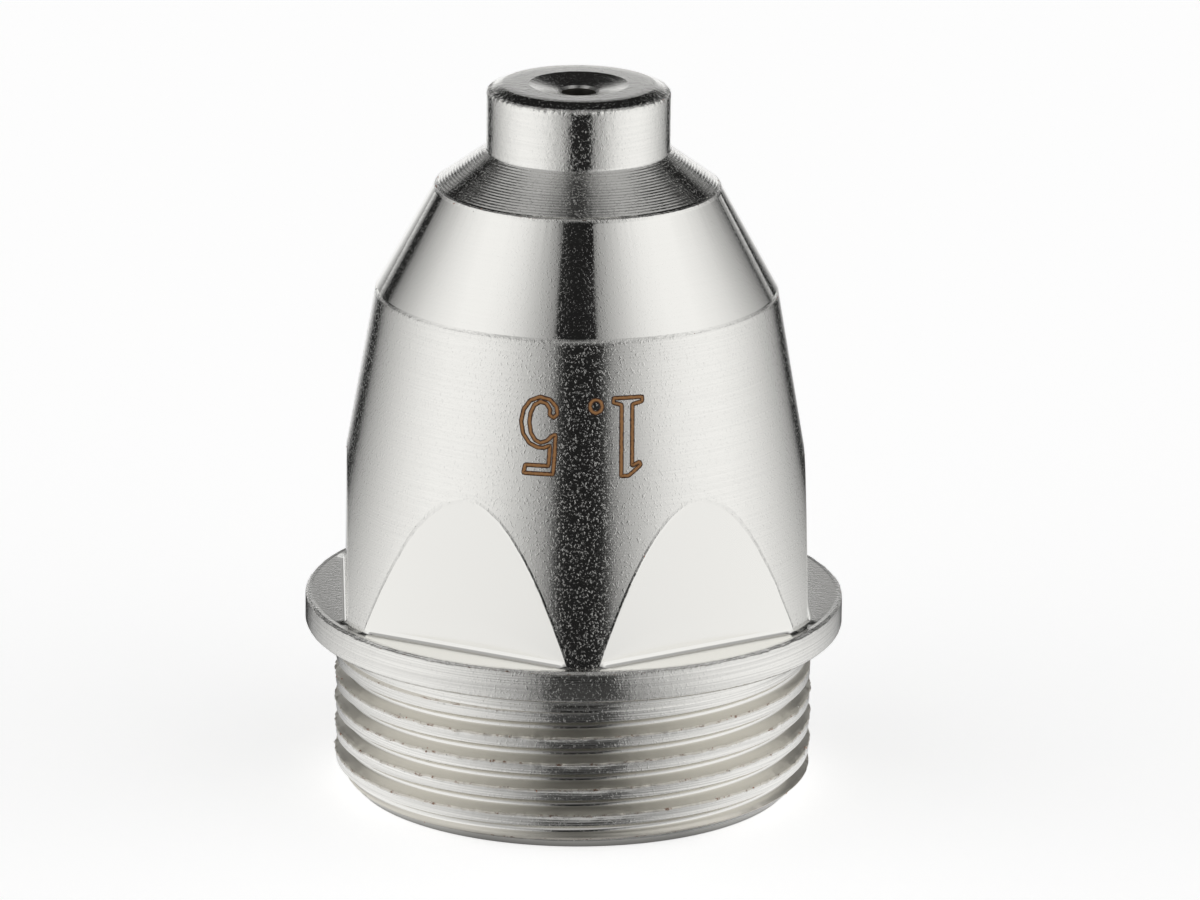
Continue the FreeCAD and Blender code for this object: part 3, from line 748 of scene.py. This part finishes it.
def fill_ramp(node, stops):
    """Gives a colour ramp its grey levels, as pairs of position and level."""
    ramp = node.color_ramp
    while len(ramp.elements) > 1:
        ramp.elements.remove(ramp.elements[-1])
    for place, (position, level) in enumerate(stops):
        stop = ramp.elements[0] if place == 0 else ramp.elements.new(position)
        stop.position, stop.color = position, (level, level, level, 1.0)
    return node


def side_light(tree, across, ahead, height):
    """Level of the tent's side by the angle from the gap, which leans a little."""
    angle = add(tree, "ShaderNodeMath", across, ahead, operation="ARCTAN2")
    lean = add(tree, "ShaderNodeMath", height, math.radians(5.3), -math.radians(3.5),
               operation="MULTIPLY_ADD")
    angle = add(tree, "ShaderNodeMath", angle, lean, operation="ADD")
    angle = add(tree, "ShaderNodeMath", angle, operation="ABSOLUTE")
    raised = add(tree, "ShaderNodeMath", height, 0.0, operation="MAXIMUM")
    flag_lean = add(tree, "ShaderNodeMapRange", angle, math.radians(105),
                    math.radians(130), 0.0, math.radians(22))
    angle = add(tree, "ShaderNodeMath", raised, flag_lean, angle,
                operation="MULTIPLY_ADD")
    share = add(tree, "ShaderNodeMath", angle, math.pi, operation="DIVIDE")
    stops = [(degrees / 180, level) for degrees, level in SIDE_LEVELS]
    return fill_ramp(add(tree, "ShaderNodeValToRGB", share), stops)


world = bpy.data.worlds.new("white_tent")
bpy.context.scene.world = world
world.use_nodes = True
tree = world.node_tree
tree.nodes.clear()
direction = add(tree, "ShaderNodeTexCoord").outputs["Generated"]
direction = add(tree, "ShaderNodeVectorRotate", {"Vector": direction,
                "Angle": -CAMERA_TURN}, rotation_type="Z_AXIS")
parts = add(tree, "ShaderNodeSeparateXYZ", direction).outputs
ahead = add(tree, "ShaderNodeMath", parts["Y"], -1.0, operation="MULTIPLY")
side = side_light(tree, parts["X"], ahead, parts["Z"])
apart = add(tree, "ShaderNodeMath", parts["X"], operation="ABSOLUTE")
behind = add(tree, "ShaderNodeMapRange", parts["Y"], 0.8, 0.92, 0.0, 1.0)
rear = fill_ramp(add(tree, "ShaderNodeValToRGB", parts["Z"]),
                 [(0.0, 1.0), (0.1, 0.95), (0.2, 0.62), (0.29, 0.47), (0.37, 0.08),
                  (0.5, 0.01)])
side = add(tree, "ShaderNodeMix", behind, side, rear, data_type="RGBA")
beside = add(tree, "ShaderNodeMath",
             add(tree, "ShaderNodeMapRange", apart, 0.18, 0.3, 0.0, 1.0),
             add(tree, "ShaderNodeMapRange", parts["Z"], 0.1, 0.2, 0.0, 1.0),
             operation="MULTIPLY")
beside = add(tree, "ShaderNodeMath", beside, behind, operation="MULTIPLY")
side = add(tree, "ShaderNodeMix", beside, side, (0.03, 0.03, 0.03, 1.0),
           data_type="RGBA")
roof = fill_ramp(add(tree, "ShaderNodeValToRGB", apart),
                 [(0.0, 0.03), (0.06, 0.05), (0.115, 0.18), (0.185, 0.29), (0.25, 0.38),
                  (0.32, 0.46), (0.6, 0.44)])
above = add(tree, "ShaderNodeMapRange", parts["Z"], 0.66, 0.8, 0.0, 1.0)
tent = add(tree, "ShaderNodeMix", above, side, roof, data_type="RGBA")
far_middle = add(tree, "ShaderNodeMath",
                 add(tree, "ShaderNodeMapRange", parts["Y"], 0.28, 0.42, 0.0, 1.0),
                 add(tree, "ShaderNodeMapRange", apart, 0.43, 0.53, 1.0, 0.0),
                 operation="MULTIPLY")
far_side = add(tree, "ShaderNodeMapRange", parts["Y"], 0.6, 0.7, 0.0, 1.0)
far_side = add(tree, "ShaderNodeMath", far_side, far_middle, operation="MAXIMUM")
upper = add(tree, "ShaderNodeMapRange", parts["Z"], 0.3, 0.44, 0.0, 1.0)
unlit = add(tree, "ShaderNodeMath", far_side, upper, operation="MULTIPLY")
tent = add(tree, "ShaderNodeMix", unlit, tent, (0.012, 0.012, 0.012, 1.0),
           data_type="RGBA")
seen = add(tree, "ShaderNodeLightPath").outputs["Is Camera Ray"]
shown = add(tree, "ShaderNodeMix", seen, tent, (1.0, 1.0, 1.0, 1.0), data_type="RGBA")
background = add(tree, "ShaderNodeBackground", shown, 1.0)
add(tree, "ShaderNodeOutputWorld", background)
print("the tent is lit")

# %% [markdown]
# ## Floor
# The floor is a plain white sheet. It has a little light of its own, so that it reads as white,
# and the nozzle's soft shadow still shows on it. Rays that bounce off the nozzle see a painted
# reflection
# instead: the sheet glows darker for them than the camera sees it, with the dark gap of the tent
# painted in, a painted lighter ring close round the nozzle, and painted shade right under the
# nozzle.
# So the metal does not mirror the white floor.

# %% Floor
FLOOR = 2.0
sheet = bpy.data.meshes.new("floor")
sheet.from_pydata([(-FLOOR, -FLOOR, 0), (FLOOR, -FLOOR, 0), (FLOOR, FLOOR, 0),
                   (-FLOOR, FLOOR, 0)], [], [(0, 1, 2, 3)])
floor = bpy.data.objects.new("floor", sheet)
bpy.context.scene.collection.objects.link(floor)
paper = bpy.data.materials.new("floor_paper_painted_reflection")
paper.use_nodes = True
tree = paper.node_tree
tree.nodes.clear()
spot = add(tree, "ShaderNodeTexCoord").outputs["Object"]
spot = add(tree, "ShaderNodeVectorRotate", {"Vector": spot, "Angle": -CAMERA_TURN},
           rotation_type="Z_AXIS")
parts = add(tree, "ShaderNodeSeparateXYZ", spot).outputs
ahead = add(tree, "ShaderNodeMath", parts["Y"], -1.0, operation="MULTIPLY")
# Painted reflection: for reflected rays the floor glows with the tent's side levels, by its place
# round the nozzle.
mirrored = side_light(tree, parts["X"], ahead, 0.0)
path = add(tree, "ShaderNodeLightPath").outputs
own = add(tree, "ShaderNodeEmission", (1.0, 1.0, 1.0, 1.0),
          add(tree, "ShaderNodeMath", path["Is Camera Ray"], 0.62, operation="MULTIPLY"))
lit = add(tree, "ShaderNodeAddShader",
          add(tree, "ShaderNodeBsdfDiffuse", linear("#F5F5F5")), own)
away = add(tree, "ShaderNodeVectorMath", spot, operation="LENGTH").outputs["Value"]
# Painted reflection: a lighter ring close round the nozzle, fading outwards, seen only in
# reflections.
near = fill_ramp(add(tree, "ShaderNodeValToRGB",
                     add(tree, "ShaderNodeMath", away, 10.0, operation="MULTIPLY")),
                 [(0.0, 0.5), (0.115, 0.5), (0.135, 0.12), (0.2, 0.05), (0.42, 0.06),
                  (0.75, 0.015)])
mirrored = add(tree, "ShaderNodeMix", 1.0, mirrored, near, data_type="RGBA",
               blend_type="LIGHTEN")
# Painted shade: a dark patch right under the nozzle, seen only in reflections.
painted_shade_under_nozzle = add(tree, "ShaderNodeMapRange", away, 9.4 * MM, 10.2 * MM, 0.0, 1.0)
painted_reflection_glow = add(tree, "ShaderNodeEmission", mirrored, painted_shade_under_nozzle)
add(tree, "ShaderNodeOutputMaterial",
    add(tree, "ShaderNodeMixShader", path["Is Glossy Ray"], lit, painted_reflection_glow))
sheet.materials.append(paper)
print(f"the floor is {2 * FLOOR:.0f} m across")

# %% [markdown]
# ## Camera
# A long lens from a third of a metre away, a little above the nozzle, keeps its sides
# nearly parallel.

# %% Camera
AIM = Vector((0, 0, 15.34 * MM))
DISTANCE, ELEVATION, ROLL = 0.3541, math.radians(16.717), math.radians(0.573)
lens = bpy.data.cameras.new("camera")
lens.lens, lens.sensor_width = 242.77, 36
lens.shift_x, lens.shift_y = 0.0206, -0.0068
lens.clip_start, lens.clip_end = 0.01, 20
camera = bpy.data.objects.new("camera", lens)
bpy.context.scene.collection.objects.link(camera)
turned = (Matrix.Rotation(CAMERA_TURN, 4, "Z")
          @ Matrix.Rotation(math.pi / 2 - ELEVATION, 4, "X")
          @ Matrix.Rotation(ROLL, 4, "Z"))
camera.matrix_world = Matrix.Translation(AIM + turned.to_3x3() @ Vector((0, 0, DISTANCE))) @ turned
bpy.context.scene.camera = camera
bpy.context.scene.view_settings.view_transform = "Standard"
print(f"the camera stands {DISTANCE} m from its aim")
